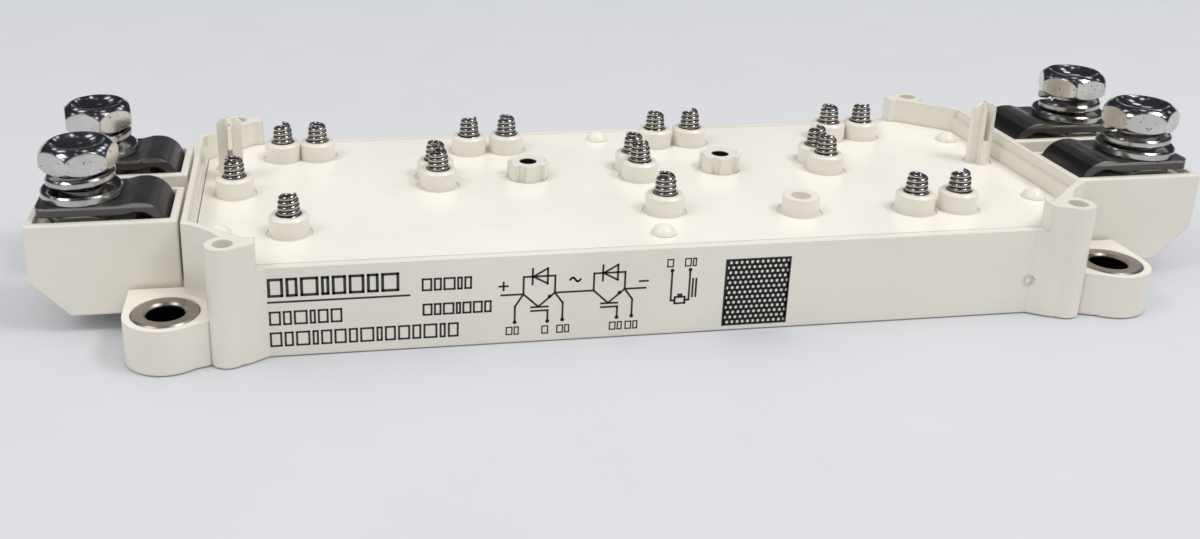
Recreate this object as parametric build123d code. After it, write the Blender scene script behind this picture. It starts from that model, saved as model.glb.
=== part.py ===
from build123d import *
from math import sqrt
import os

# Semiconductor switch module with spring contacts, in millimetres.
# The origin is the centre of the underside, +X runs along the module, +Z is up.

# Long box body
BODY_HALF_X = 69.2
BODY_HALF_Y = 27.2
WALL = 1.5
END_WALL = 1.4
FOOT_GAP = 0.2
LID_TOP = 13.8
RAIL_RISE = 4.2
RAIL_RUN = 10.6
SHOULDER_RUN = 5.5
SHOULDER_DROP = 2.2
CORNER_DROP = 7.6
CORNER_SAG = 0.6
EDGE_ROUND = 0.35
WALL_STEP = 0.5
WALL_STEP_RISE = 2.6

# Posts that carry the driver board
POST_INSET_X = 6.3
POST_OUT_Y = 0.3
POST_R = 2.55
POST_HOLE_R = 1.4
POST_HOLE_DEPTH = 9.0
WEB_RUN = 5.6
WEB_SLOPE = 2.4

# Mounting lugs and their steel sleeves
MOUNT_OUT_X = 2.3
MOUNT_INSET_Y = 2.2
MOUNT_HOLE_R = 2.75
SLEEVE_R = 4.8
LUG_R = 6.0
LUG_TOP = 6.9
LUG_BACK = 8.0
SLEEVE_PROUD = 0.1
SLEEVE_BEVEL = 0.35
FIT_GAP = 0.1

# Depth to which joined forms run into each other, and how far cuts run past a face
JOIN = 0.5
PAST = 1.0

# Base plate
BASE_THICK = 3.0
BASE_INSET_X = 3.2
BASE_INSET_Y = 2.3
BASE_EAR_R = 4.7
BASE_NECK = 1.0

# Terminal blocks at the two ends
BLOCK_LENGTH = 21.6
BLOCK_SLIT = 0.7
BLOCK_Y = 9.5
BLOCK_WIDTH = 13.8
BLOCK_TOP = 17.2
BLOCK_BOTTOM = 2.9
BLOCK_RIM = 1.1
BLOCK_TAB_INSET = 2.9
BLOCK_TAB_WIDTH = 1.7
BLOCK_TAB_RISE = 0.4
BLOCK_CUT_X = 5.5
BLOCK_CUT_Z = 5.7
PLATFORM_DROP = 0.9
ROOT_TOP = 7.4
LEG_POCKET = 5.2
BRIDGE_TOP = 6.0
BRIDGE_SETBACK = 3.0
BAR_WINDOW_GAP = 0.6

# Terminal bars
BAR_THICK = 1.4
BAR_PROUD = 2.1
BAR_WIDTH = 11.4
BAR_TIP_GAP = 1.5
BAR_ARCH_RISE = 0.4
BAR_ARCH_GAP = 0.2
BAR_ARCH_SHARE = 0.3
BAR_LEG_GAP = 0.4
BAR_ARCH_BEND_R = 1.0
BAR_BEND_R = 3.3
BAR_BEND_SHARE = 0.85
BAR_FOOT_BEND_R = 1.5
BAR_FOOT_RUN = 9.4
BAR_CORNER_R = 1.6

# Terminal screws
BOLT_INSET = 7.5
THREAD_R = 2.95
BOLT_LENGTH = 16.0
BOLT_END_BEVEL = 0.6
BOLT_BORE_R = 3.3
HEX_FLATS = 10.0
HEAD_HEIGHT = 4.1
HEAD_RIM_R = 4.15
HEAD_FLAT_DROP = 0.55
HEAD_CORNER_DROP = 1.8
HEAD_FOOT_R = 4.75
HEAD_FOOT_DROP = 0.15
HEAD_FOOT_CORNER_DROP = 0.9
HEAD_DISH_R = 3.85
HEAD_DISH_DEPTH = 1.2
HEAD_DISH_MIDDLE_R = 2.4
HEAD_DISH_MIDDLE_DEPTH = 0.85
NUT_HEIGHT = 5.0
NUT_GAP = 0.1
NUT_BEVEL = 0.5
FLAT_WASHER_R = 5.9
FLAT_WASHER_THICK = 1.4
FLAT_WASHER_BEVEL = 0.25
LOCK_WASHER_R = 5.1
LOCK_WASHER_HOLE_R = 3.15
LOCK_WASHER_THICK = 1.4
LOCK_WASHER_RISE = 1.4
LOCK_WASHER_BEVEL = 0.35
LOCK_WASHER_SPLIT = 14.0

# Lid
LID_THICK = 1.6
LID_GAP = 0.1
LEDGE = 1.0

# Spring holder under the lid, with what stands up through it
HOLDER_THICK = 1.6
COLLAR_R = 3.35
COLLAR_DROP = 0.15
CHIMNEY_R = 3.0
CHIMNEY_HEIGHT = 3.0
CHIMNEY_BEVEL = 0.4
GUIDE_R = 2.45
GUIDE_DROP = 3.0
SPRING_BORE_R = 1.95
LID_HOLE_GAP = 0.1
BOSS_CORE_R = 2.75
BOSS_RIB_R = 3.25
BOSS_RIB_WIDTH = 1.9
BOSS_RIBS = 6
BOSS_HEIGHT = 2.7
BOSS_HOLE_R = 1.45
CUP_R = 2.85
CUP_HOLE_R = 1.5
CUP_HEIGHT = 2.6
PIN_SPAN = 4.0
PIN_RIB = 1.2
PIN_HEIGHT = 10.6
PIN_SLOT = 0.9
PIN_SLOT_DEPTH = 6.3
PIN_TIP = 0.9
PIN_FOOT_R = 2.2
PIN_FOOT_DROP = 0.05
STAKE_R = 1.2
STAKE_HEAD_R = 1.9
STAKE_HEAD_HEIGHT = 1.5

# Contact springs
COIL_R = 1.75
COIL_TIP_R = 1.2
COIL_SHAFT_R = 1.3
COIL_TURNS = 5
COIL_WIRE = 0.7
COIL_RISE = 3.3

# Layers on the base plate
TILE_COUNT = 4
TILE_SPACE = 3.4
TILE_SIDE_ROOM = 4.9
TILE_THICK = 1.0
TRACK_THICK = 0.3
TRACK_MARGIN = 0.8
TRACK_SPLIT = 1.0
CHIP_THICK = 0.3
SWITCH_CHIP = 10.0
SWITCH_Y = 9.5
DIODE_CHIP = 6.0
DIODE_Y = 7.0
CHIP_SHIFTS = [(5.5, -3.5), (5.5, -4.5), (5.5, -4.5), (-3.5, 4.9)]
WIRE_COUNT = 3
WIRE_STEP = 1.6
WIRE_THICK = 0.4
WIRE_RISE = 1.2
GEL_ROOM = 0.2
GEL_GAP = 0.15
SENSOR_INSET_X = 2.0
SENSOR_INSET_Y = 2.6
SENSOR_LENGTH = 3.6
SENSOR_R = 0.8

# Places of what stands on the lid, tile by tile as shifts from the tile's middle
PAIR_SHIFTS = [-2.6, -3.0, -2.6, -3.2]
PAIR_STEPS = [5.9, 6.6, 6.4, 6.1]
PAIR_ROW_INSET = 9.0
SIDE_SINGLE_SHIFT = -13.1
SIDE_SINGLE_Y = 2.2
TWIN_SHIFTS = [-13.5, -12.9, -13.5]
TWIN_Y = 4.2
TWIN_STEP = 4.3
FRONT_SHIFTS = [[-4.5], [], [-12.9], [-6.9, 0.2]]
FRONT_INSETS = [12.5, 0.0, 14.3, 10.2]
BOSS_SHIFT = 1.7
BOSS_Y = 4.4
CUP_SHIFT = 8.0
CUP_INSET = 11.6
LEFT_PIN_INSET = 5.8
LEFT_PIN_Y = 9.2
RIGHT_PIN_INSET = 5.2
RIGHT_PIN_Y = 2.8
STAKE_INSET_X = 4.9
STAKE_INSET_Y = 13.0
MIDDLE_STAKE_X = 1.0
MIDDLE_STAKE_INSET = 5.6

# Mark left by the mould on the front face
MARK_INSET = 12.2
MARK_Z = 5.5
MARK_R = 0.95
MARK_DEPTH = 0.2

# Heights and places that follow from the sizes above
RAIL_TOP = LID_TOP + RAIL_RISE
RAIL_START_X = BODY_HALF_X - RAIL_RUN
SHOULDER_X = BODY_HALF_X - SHOULDER_RUN
SHOULDER_Y = BODY_HALF_Y - SHOULDER_DROP
CORNER_Y = BODY_HALF_Y - CORNER_DROP
INNER_X = BODY_HALF_X - END_WALL
INNER_Y = BODY_HALF_Y - WALL
POST_X = BODY_HALF_X - POST_INSET_X
POST_Y = BODY_HALF_Y + POST_OUT_Y
MOUNT_X = BODY_HALF_X + MOUNT_OUT_X
MOUNT_Y = BODY_HALF_Y - MOUNT_INSET_Y
LUG_BACK_Y = MOUNT_Y - LUG_BACK
BASE_HALF_X = BODY_HALF_X - BASE_INSET_X
BASE_HALF_Y = BODY_HALF_Y - BASE_INSET_Y
BLOCK_START_X = BODY_HALF_X + BLOCK_SLIT
BLOCK_END_X = BLOCK_START_X + BLOCK_LENGTH
BOLT_X = BLOCK_END_X - BOLT_INSET
BAR_TOP = BLOCK_TOP + BAR_PROUD
BAR_BOTTOM = BAR_TOP - BAR_THICK
BAR_FOOT_X = BODY_HALF_X - BAR_FOOT_RUN
TILE_PITCH = 2 * BASE_HALF_X / TILE_COUNT
TILE_X = TILE_PITCH - TILE_SPACE
TILE_Y = 2 * (BASE_HALF_Y - TILE_SIDE_ROOM)
BAR_TIP_X = BLOCK_END_X - BAR_TIP_GAP
PLATFORM_Z = BLOCK_TOP - PLATFORM_DROP
LUG_REACH = MOUNT_Y + LUG_R
LEG_X = BLOCK_START_X + BLOCK_RIM + BAR_LEG_GAP + BAR_THICK / 2
TRACK_TOP = BASE_THICK + TILE_THICK + TRACK_THICK
HOLDER_TOP = LID_TOP - LID_THICK
CHIMNEY_TOP = LID_TOP + CHIMNEY_HEIGHT
GUIDE_BOTTOM = HOLDER_TOP - HOLDER_THICK - GUIDE_DROP
GEL_TOP = GUIDE_BOTTOM - GEL_ROOM
FLAT_WASHER_TOP = BAR_TOP + FLAT_WASHER_THICK
HEAD_BOTTOM = FLAT_WASHER_TOP + LOCK_WASHER_THICK + LOCK_WASHER_RISE
CORNERS = [(1, 1), (-1, 1), (-1, -1), (1, -1)]
TERMINALS = {
    "left_front": (-1, -1),
    "left_back": (-1, 1),
    "right_front": (1, -1),
    "right_back": (1, 1),
}
# How far each loose screw and split ring is turned, in degrees
SCREW_TURN = {"left_front": 20, "left_back": 42, "right_front": 36, "right_back": 5}
LOCK_WASHER_TURN = {"left_front": 60, "left_back": 75, "right_front": 150, "right_back": 165}


def tile_centres():
    first = -(TILE_COUNT - 1) / 2 * TILE_PITCH
    return [first + TILE_PITCH * number for number in range(TILE_COUNT)]


TILES = tile_centres()


def spring_places():
    places = []
    row_y = BODY_HALF_Y - PAIR_ROW_INSET
    for tile_x, shift, step in zip(TILES, PAIR_SHIFTS, PAIR_STEPS):
        centre = tile_x + shift
        places += [(centre - step / 2, row_y), (centre + step / 2, row_y)]
    for tile_x, shift in zip(TILES[1:], TWIN_SHIFTS):
        x = tile_x + shift
        places += [(x, TWIN_Y - TWIN_STEP / 2), (x, TWIN_Y + TWIN_STEP / 2)]
    places.append((TILES[0] + SIDE_SINGLE_SHIFT, SIDE_SINGLE_Y))
    for tile_x, shifts, inset in zip(TILES, FRONT_SHIFTS, FRONT_INSETS):
        places += [(tile_x + shift, inset - BODY_HALF_Y) for shift in shifts]
    return places


def boss_places():
    return [(tile_x + BOSS_SHIFT, BOSS_Y) for tile_x in TILES[1:3]]


def cup_place():
    return TILES[2] + CUP_SHIFT, CUP_INSET - BODY_HALF_Y


def pin_places():
    return [(LEFT_PIN_INSET - BODY_HALF_X, LEFT_PIN_Y), (BODY_HALF_X - RIGHT_PIN_INSET, RIGHT_PIN_Y)]


def stake_places():
    x = BODY_HALF_X - STAKE_INSET_X
    y = BODY_HALF_Y - STAKE_INSET_Y
    middle_y = BODY_HALF_Y - MIDDLE_STAKE_INSET
    corners = [(sx * x, sy * y) for sx, sy in CORNERS]
    return corners + [(MIDDLE_STAKE_X, -middle_y), (MIDDLE_STAKE_X, middle_y)]


def slab(face, bottom, top):
    return extrude(Plane.XY.offset(bottom) * face, top - bottom)


def box(x0, x1, y0, y1, z0, z1):
    centre = ((x0 + x1) / 2, (y0 + y1) / 2, (z0 + z1) / 2)
    return Pos(*centre) * Box(x1 - x0, y1 - y0, z1 - z0)


def rod(x, y, radius, bottom, top):
    return Pos(x, y, (bottom + top) / 2) * Cylinder(radius, top - bottom)


def side_box(side, x0, x1, y0, y1, z0, z1):
    if side > 0:
        return box(x0, x1, y0, y1, z0, z1)
    return box(-x1, -x0, y0, y1, z0, z1)


def mirrored(face):
    half = face + mirror(face, Plane.YZ)
    return half + mirror(half, Plane.XZ)


# Plan outlines

def body_face():
    # One quarter of the outside, with the hollow shoulder beside the lug
    middle_x = (SHOULDER_X + BODY_HALF_X) / 2 - CORNER_SAG * sqrt(0.5)
    middle_y = (SHOULDER_Y + CORNER_Y) / 2 - CORNER_SAG * sqrt(0.5)
    shoulder = (SHOULDER_X, SHOULDER_Y)
    corner = (BODY_HALF_X, CORNER_Y)
    lines = Polyline((0, 0), (0, BODY_HALF_Y), (SHOULDER_X, BODY_HALF_Y), shoulder)
    lines += ThreePointArc(shoulder, (middle_x, middle_y), corner)
    lines += Polyline(corner, (BODY_HALF_X, 0), (0, 0))
    quarter = make_face(lines)
    post = Pos(POST_X, POST_Y) * Circle(POST_R)
    top = POST_Y + POST_R
    root = BODY_HALF_Y - JOIN
    web = Polygon(
        (POST_X - WEB_RUN, root), (POST_X, root), (POST_X, top), (POST_X - WEB_RUN + WEB_SLOPE, top - POST_R / 2),
        (POST_X - WEB_RUN, BODY_HALF_Y), align=None,
    )
    return mirrored(quarter + web + post)


def inner_face(inset):
    # Room inside the walls, cut across its corners behind the posts
    x = INNER_X - inset
    y = INNER_Y - inset
    cut = INNER_Y - SHOULDER_Y + WALL + END_WALL
    corner_x = SHOULDER_X - cut - inset
    corner_y = CORNER_Y - END_WALL / 2 - inset / 2
    return Polygon(
        (x, corner_y), (corner_x, y), (-corner_x, y), (-x, corner_y),
        (-x, -corner_y), (-corner_x, -y), (corner_x, -y), (x, -corner_y), align=None,
    )


def lug_face():
    back = LUG_BACK_Y
    side = MOUNT_X + LUG_R
    front = LUG_REACH
    valley = (POST_X + POST_R, POST_Y + POST_R / 2)
    shape = Polygon(
        (side, back), (side, MOUNT_Y), (MOUNT_X, front), valley, (POST_X, MOUNT_Y), (POST_X, back),
        align=None,
    )
    return shape + Pos(MOUNT_X, MOUNT_Y) * Circle(LUG_R)


def base_face(gap):
    plate = Rectangle(2 * (BASE_HALF_X + gap), 2 * (BASE_HALF_Y + gap))
    ear_r = BASE_EAR_R + gap
    run = MOUNT_X - POST_X
    neck = Pos(MOUNT_X - run / 2, MOUNT_Y) * Rectangle(run, 2 * ear_r)
    neck &= Rectangle(4 * MOUNT_X, 2 * (MOUNT_Y + BASE_NECK + gap))
    ear = Pos(MOUNT_X, MOUNT_Y) * Circle(ear_r)
    return plate + mirrored(neck + ear)


# Moulded housing

def terminal_block(side):
    width = BLOCK_WIDTH
    profile = Polygon(
        (BLOCK_START_X, BLOCK_BOTTOM), (BLOCK_END_X - BLOCK_CUT_X, BLOCK_BOTTOM),
        (BLOCK_END_X, BLOCK_BOTTOM + BLOCK_CUT_Z), (BLOCK_END_X, BLOCK_TOP), (BLOCK_START_X, BLOCK_TOP),
        align=None,
    )
    block = extrude(Plane.XZ * profile, width / 2, both=True)
    block = fillet(block.edges().filter_by(Axis.Z), EDGE_ROUND)
    outer_top = block.faces().sort_by(Axis.Z)[-1].edges()
    block = fillet(outer_top, EDGE_ROUND)
    half = width / 2 - BLOCK_RIM
    tip = BLOCK_END_X - BLOCK_RIM
    start = BLOCK_START_X + BLOCK_RIM
    above = BLOCK_TOP + PAST
    block -= box(start, tip, -half, half, PLATFORM_Z, above)
    block -= box(start, start + LEG_POCKET, -half, half, TRACK_TOP, above)
    nut_floor = BAR_BOTTOM - NUT_HEIGHT
    pocket = RegularPolygon(HEX_FLATS / 2 + NUT_GAP, 6, major_radius=False)
    block -= Pos(BOLT_X, 0) * slab(pocket, nut_floor, above)
    block -= rod(BOLT_X, 0, BOLT_BORE_R, TRACK_TOP, above)
    root_y = width / 2 - JOIN
    block += box(BODY_HALF_X - JOIN, BLOCK_START_X + JOIN, -root_y, root_y, BLOCK_BOTTOM, ROOT_TOP)
    if side < 0:
        return mirror(block, Plane.YZ)
    return block


def rim_tab(side):
    # Small step on the rear rim of a front block
    x = BLOCK_START_X + BLOCK_TAB_INSET
    rear = BLOCK_WIDTH / 2 - BLOCK_Y
    top = BLOCK_TOP + BLOCK_TAB_RISE
    return side_box(side, x, x + BLOCK_TAB_WIDTH, rear - BLOCK_RIM, rear - EDGE_ROUND, BLOCK_TOP - JOIN, top)


def bar_window(side, y):
    # Way for the terminal bar from its pocket through the end wall
    half = BAR_WIDTH / 2 + FIT_GAP
    top = TRACK_TOP + BAR_THICK + BAR_WINDOW_GAP
    return side_box(side, INNER_X - 2 * LEDGE, LEG_X, y - half, y + half, TRACK_TOP, top)


def housing_frame():
    frame = slab(body_face(), FOOT_GAP, RAIL_TOP)
    frame -= box(-RAIL_START_X, RAIL_START_X, -LUG_REACH, LUG_REACH, LID_TOP, RAIL_TOP + PAST)
    frame += slab(mirrored(lug_face()), FOOT_GAP, LUG_TOP)
    frame -= slab(inner_face(0), HOLDER_TOP, RAIL_TOP + PAST)
    frame -= slab(inner_face(LEDGE), BASE_THICK, HOLDER_TOP)
    for side in (-1, 1):
        for y in (-BLOCK_Y, BLOCK_Y):
            frame += Pos(0, y) * terminal_block(side)
        inner_y = BLOCK_Y - BLOCK_WIDTH / 2 + JOIN
        bridge_end = BLOCK_END_X - BLOCK_CUT_X - BRIDGE_SETBACK
        frame += side_box(side, BODY_HALF_X - JOIN, bridge_end, -inner_y, inner_y, BLOCK_BOTTOM, BRIDGE_TOP)
        frame += rim_tab(side)
        frame -= wall_rebate(side)
        for y in (-BLOCK_Y, BLOCK_Y):
            frame -= bar_window(side, y)
    frame -= slab(base_face(FIT_GAP), 0, BASE_THICK)
    for sx, sy in CORNERS:
        frame -= rod(sx * MOUNT_X, sy * MOUNT_Y, SLEEVE_R + FIT_GAP, 0, LUG_TOP + PAST)
        frame -= rod(sx * POST_X, sy * POST_Y, POST_HOLE_R, RAIL_TOP - POST_HOLE_DEPTH, RAIL_TOP + PAST)
    return frame - mould_mark()


def wall_rebate(side):
    # The end walls get thinner near their top, which leaves a ledge line inside
    half_y = CORNER_Y - LEDGE
    foot = LID_TOP + WALL_STEP_RISE
    return side_box(side, INNER_X - PAST, INNER_X + WALL_STEP, -half_y, half_y, foot, RAIL_TOP + PAST)


def mould_mark():
    ring = Circle(MARK_R) - Circle(MARK_R / 2)
    place = Pos(BODY_HALF_X - MARK_INSET, MARK_Z)
    return extrude(Plane.XZ.offset(BODY_HALF_Y - MARK_DEPTH) * place * ring, PAST)


# Parts under and around the housing

def base_plate():
    plate = slab(base_face(0), 0, BASE_THICK)
    for sx, sy in CORNERS:
        plate -= rod(sx * MOUNT_X, sy * MOUNT_Y, MOUNT_HOLE_R, -PAST, BASE_THICK + PAST)
    return plate


def sleeve(sx, sy):
    top = LUG_TOP + SLEEVE_PROUD
    ring = rod(0, 0, SLEEVE_R, BASE_THICK, top) - rod(0, 0, MOUNT_HOLE_R, BASE_THICK, top)
    rims = ring.faces().sort_by(Axis.Z)[-1].edges()
    return Pos(sx * MOUNT_X, sy * MOUNT_Y) * chamfer(rims, SLEEVE_BEVEL)


def lid():
    plate = slab(inner_face(LID_GAP), HOLDER_TOP, LID_TOP)
    for x, y in spring_places() + boss_places() + [cup_place()]:
        plate -= rod(x, y, COLLAR_R + LID_HOLE_GAP, 0, LID_TOP + PAST)
    for x, y in pin_places():
        plate -= rod(x, y, PIN_FOOT_R + LID_HOLE_GAP, 0, LID_TOP + PAST)
    for x, y in stake_places():
        plate -= rod(x, y, STAKE_R + LID_HOLE_GAP, 0, LID_TOP + PAST)
    return plate


# Spring holder

def chimney(x, y):
    collar = rod(x, y, COLLAR_R, HOLDER_TOP - JOIN, LID_TOP - COLLAR_DROP)
    tube = rod(x, y, CHIMNEY_R, HOLDER_TOP - JOIN, CHIMNEY_TOP)
    tube = chamfer(tube.faces().sort_by(Axis.Z)[-1].edges(), CHIMNEY_BEVEL)
    guide = rod(x, y, GUIDE_R, GUIDE_BOTTOM, HOLDER_TOP - JOIN)
    return collar + tube + guide


def ribbed_boss(x, y):
    top = LID_TOP + BOSS_HEIGHT
    outline = Sketch() + Circle(BOSS_CORE_R)
    for number in range(BOSS_RIBS):
        rib = Pos(BOSS_RIB_R / 2, 0) * Rectangle(BOSS_RIB_R, BOSS_RIB_WIDTH)
        outline += Rot(0, 0, 90 + 360 / BOSS_RIBS * number) * rib
    boss = slab(outline - Circle(BOSS_HOLE_R), HOLDER_TOP - JOIN, top)
    collar = slab(Circle(COLLAR_R) - Circle(BOSS_HOLE_R), HOLDER_TOP - JOIN, LID_TOP - COLLAR_DROP)
    return Pos(x, y) * (boss + collar)


def hollow_cup(x, y):
    cup = rod(x, y, CUP_R, HOLDER_TOP - JOIN, LID_TOP + CUP_HEIGHT)
    cup += rod(x, y, COLLAR_R, HOLDER_TOP - JOIN, LID_TOP - COLLAR_DROP)
    return cup - rod(x, y, CUP_HOLE_R, LID_TOP, LID_TOP + CUP_HEIGHT + PAST)


def guide_pin(x, y):
    top = LID_TOP + PIN_HEIGHT
    cross = Rectangle(PIN_SPAN, PIN_RIB) + Rectangle(PIN_RIB, PIN_SPAN)
    pin = slab(cross, HOLDER_TOP - JOIN, top)
    reach = PIN_SPAN / 2
    tip = Polygon((0, 0), (reach, 0), (reach, top - PIN_TIP), (reach - PIN_TIP, top), (0, top), align=None)
    pin &= revolve(Plane.XZ * tip, Axis.Z)
    pin -= box(-PIN_SLOT / 2, PIN_SLOT / 2, -PIN_SPAN, PIN_SPAN, top - PIN_SLOT_DEPTH, top + PAST)
    pin += rod(0, 0, PIN_FOOT_R, HOLDER_TOP - JOIN, LID_TOP - PIN_FOOT_DROP)
    return Pos(x, y) * pin


def stake(x, y):
    # Pin through the lid with its head formed over it
    ball_r = (STAKE_HEAD_R**2 + STAKE_HEAD_HEIGHT**2) / (2 * STAKE_HEAD_HEIGHT)
    ball = Pos(x, y, LID_TOP + STAKE_HEAD_HEIGHT - ball_r) * Sphere(ball_r)
    head = ball & rod(x, y, STAKE_HEAD_R, LID_TOP, LID_TOP + STAKE_HEAD_HEIGHT)
    return rod(x, y, STAKE_R, HOLDER_TOP - JOIN, LID_TOP + JOIN) + head


def spring_holder():
    holder = slab(inner_face(LEDGE + LID_GAP), HOLDER_TOP - HOLDER_THICK, HOLDER_TOP)
    for x, y in spring_places():
        holder += chimney(x, y)
    for x, y in boss_places():
        holder -= rod(x, y, BOSS_HOLE_R, 0, LID_TOP)
        holder += ribbed_boss(x, y)
    for x, y in pin_places():
        holder += guide_pin(x, y)
    holder += hollow_cup(*cup_place())
    for x, y in stake_places():
        holder += stake(x, y)
    for x, y in spring_places():
        holder -= rod(x, y, SPRING_BORE_R, 0, CHIMNEY_TOP + PAST)
    return holder


def contact_spring(x, y):
    # Coil drawn as a row of ridges, from the track below to the free tip
    pitch = (COIL_RISE + COIL_WIRE) / COIL_TURNS
    start = CHIMNEY_TOP - COIL_WIRE
    points = [(0, TRACK_TOP), (COIL_SHAFT_R, TRACK_TOP), (COIL_SHAFT_R, start)]
    for turn in range(COIL_TURNS):
        shrink = (turn / (COIL_TURNS - 1)) ** 2
        radius = COIL_R - (COIL_R - COIL_TIP_R) * shrink
        points.append((radius, start + pitch * (turn + 0.5)))
        points.append((radius - COIL_WIRE / 2, start + pitch * (turn + 1)))
    points.append((0, start + pitch * COIL_TURNS))
    profile = make_face(Polyline(*points, close=True))
    return Pos(x, y) * revolve(Plane.XZ * profile, Axis.Z)


# Terminals and their screws

def terminal_bar(side, y_side):
    middle = BAR_TOP - BAR_THICK / 2
    rise_x = BOLT_X - FLAT_WASHER_R - BAR_ARCH_GAP
    arch_x = rise_x - BAR_ARCH_SHARE * (rise_x - LEG_X)
    bend_r = min(BAR_BEND_R, BAR_BEND_SHARE * (arch_x - LEG_X))
    foot_z = TRACK_TOP + BAR_THICK / 2
    route = FilletPolyline(
        (BAR_TIP_X, 0, middle), (rise_x, 0, middle), (arch_x, 0, middle + BAR_ARCH_RISE),
        (LEG_X, 0, middle + BAR_ARCH_RISE), (LEG_X, 0, foot_z), (BAR_FOOT_X, 0, foot_z),
        radius=[BAR_ARCH_BEND_R, BAR_ARCH_BEND_R, bend_r, BAR_FOOT_BEND_R],
    )
    section = Plane(origin=route @ 0, z_dir=route % 0, x_dir=(0, 1, 0)) * Rectangle(BAR_WIDTH, BAR_THICK)
    bar = sweep(section, path=route)
    end = bar.edges().filter_by(Axis.Z).sort_by(Axis.X)[-2:]
    bar = fillet(end, BAR_CORNER_R)
    bar -= rod(BOLT_X, 0, BOLT_BORE_R, BAR_BOTTOM - PAST, BAR_TOP + PAST)
    if side < 0:
        bar = mirror(bar, Plane.YZ)
    return Pos(0, y_side * BLOCK_Y) * bar


def hex_prism(bottom, top, rim_r, flat_drop, corner_drop, foot_r, foot_drop, foot_corner_drop):
    # Six flats trimmed by a rounded crown above and below
    flat_r = HEX_FLATS / 2
    corner_r = HEX_FLATS / sqrt(3)
    prism = slab(RegularPolygon(flat_r, 6, major_radius=False), bottom, top)
    foot_corner = (corner_r, bottom + foot_corner_drop)
    top_corner = (corner_r, top - corner_drop)
    lines = Polyline((0, top), (0, bottom), (foot_r, bottom))
    lines += ThreePointArc((foot_r, bottom), (flat_r, bottom + foot_drop), foot_corner)
    lines += Line(foot_corner, top_corner)
    lines += ThreePointArc(top_corner, (flat_r, top - flat_drop), (rim_r, top))
    lines += Line((rim_r, top), (0, top))
    return prism & revolve(Plane.XZ * make_face(lines), Axis.Z)


def screw():
    top = HEAD_BOTTOM + HEAD_HEIGHT
    foot = (HEAD_FOOT_R, HEAD_FOOT_DROP, HEAD_FOOT_CORNER_DROP)
    head = hex_prism(HEAD_BOTTOM, top, HEAD_RIM_R, HEAD_FLAT_DROP, HEAD_CORNER_DROP, *foot)
    floor = (0, top - HEAD_DISH_DEPTH)
    bowl = ThreePointArc(floor, (HEAD_DISH_MIDDLE_R, top - HEAD_DISH_MIDDLE_DEPTH), (HEAD_DISH_R, top))
    dish = make_face(bowl + Polyline((HEAD_DISH_R, top), (HEAD_DISH_R, top + PAST), (0, top + PAST), floor))
    head -= revolve(Plane.XZ * dish, Axis.Z)
    shank_end = HEAD_BOTTOM - BOLT_LENGTH
    shank = rod(0, 0, THREAD_R, shank_end, HEAD_BOTTOM + JOIN)
    tip = shank.faces().sort_by(Axis.Z)[0].edges()
    return head + chamfer(tip, BOLT_END_BEVEL)


def flat_washer():
    ring = slab(Circle(FLAT_WASHER_R) - Circle(BOLT_BORE_R), BAR_TOP, FLAT_WASHER_TOP)
    return chamfer(ring.edges().filter_by(GeomType.CIRCLE).sort_by(SortBy.RADIUS)[-2:], FLAT_WASHER_BEVEL)


def lock_washer():
    # Split ring whose ends stand apart in height
    width = LOCK_WASHER_R - LOCK_WASHER_HOLE_R
    middle = LOCK_WASHER_HOLE_R + width / 2
    turn = 1 - LOCK_WASHER_SPLIT / 360
    path = Helix(pitch=LOCK_WASHER_RISE / turn, height=LOCK_WASHER_RISE, radius=middle)
    outline = Rectangle(width, LOCK_WASHER_THICK)
    outline = chamfer(outline.vertices(), LOCK_WASHER_BEVEL)
    section = Plane(origin=path @ 0, z_dir=path % 0, x_dir=(1, 0, 0)) * outline
    ring = sweep(section, path=path, is_frenet=True)
    lift = FLAT_WASHER_TOP - ring.bounding_box().min.Z
    return Pos(0, 0, lift) * ring


def nut():
    rim = (HEAD_FOOT_R, HEAD_FOOT_DROP, NUT_BEVEL)
    solid = hex_prism(BAR_BOTTOM - NUT_HEIGHT, BAR_BOTTOM, *rim, *rim)
    return solid - rod(0, 0, THREAD_R + FIT_GAP, 0, BAR_TOP)


# Circuit inside

def substrate(x):
    # Ceramic tile with two copper lands bonded on it
    ceramic_top = BASE_THICK + TILE_THICK
    tile = slab(Rectangle(TILE_X, TILE_Y), BASE_THICK, ceramic_top)
    land_x = TILE_X - 2 * TRACK_MARGIN
    land_y = (TILE_Y - TRACK_SPLIT) / 2 - TRACK_MARGIN
    land_place = (TRACK_SPLIT + land_y) / 2
    for side in (-1, 1):
        tile += slab(Pos(0, side * land_place) * Rectangle(land_x, land_y), ceramic_top, TRACK_TOP)
    return Pos(x, 0) * tile


def chip_places():
    return [(x + switch, x + diode) for x, (switch, diode) in zip(TILES, CHIP_SHIFTS)]


def chips(size, places):
    chip = slab(Rectangle(size, size), TRACK_TOP, TRACK_TOP + CHIP_THICK)
    return Compound([Pos(x, y) * chip for x, y in places])


def switch_chips():
    return chips(SWITCH_CHIP, [(x, side * SWITCH_Y) for x, _ in chip_places() for side in (-1, 1)])


def diode_chips():
    return chips(DIODE_CHIP, [(x, side * DIODE_Y) for _, x in chip_places() for side in (-1, 1)])


def bond_wire(start_x, end_x):
    # Flat-footed arch from one chip top to the next
    foot = TRACK_TOP + CHIP_THICK
    crown = foot + WIRE_RISE
    slope = WIRE_RISE
    pad = 2 * WIRE_THICK
    outer = Polygon(
        (start_x, foot), (start_x + pad, foot), (start_x + pad + slope, crown - WIRE_THICK),
        (end_x - pad - slope, crown - WIRE_THICK), (end_x - pad, foot), (end_x, foot),
        (end_x, foot + WIRE_THICK), (end_x - slope, crown), (start_x + slope, crown),
        (start_x, foot + WIRE_THICK), align=None,
    )
    return extrude(Plane.XZ * outer, WIRE_THICK / 2, both=True)


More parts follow.
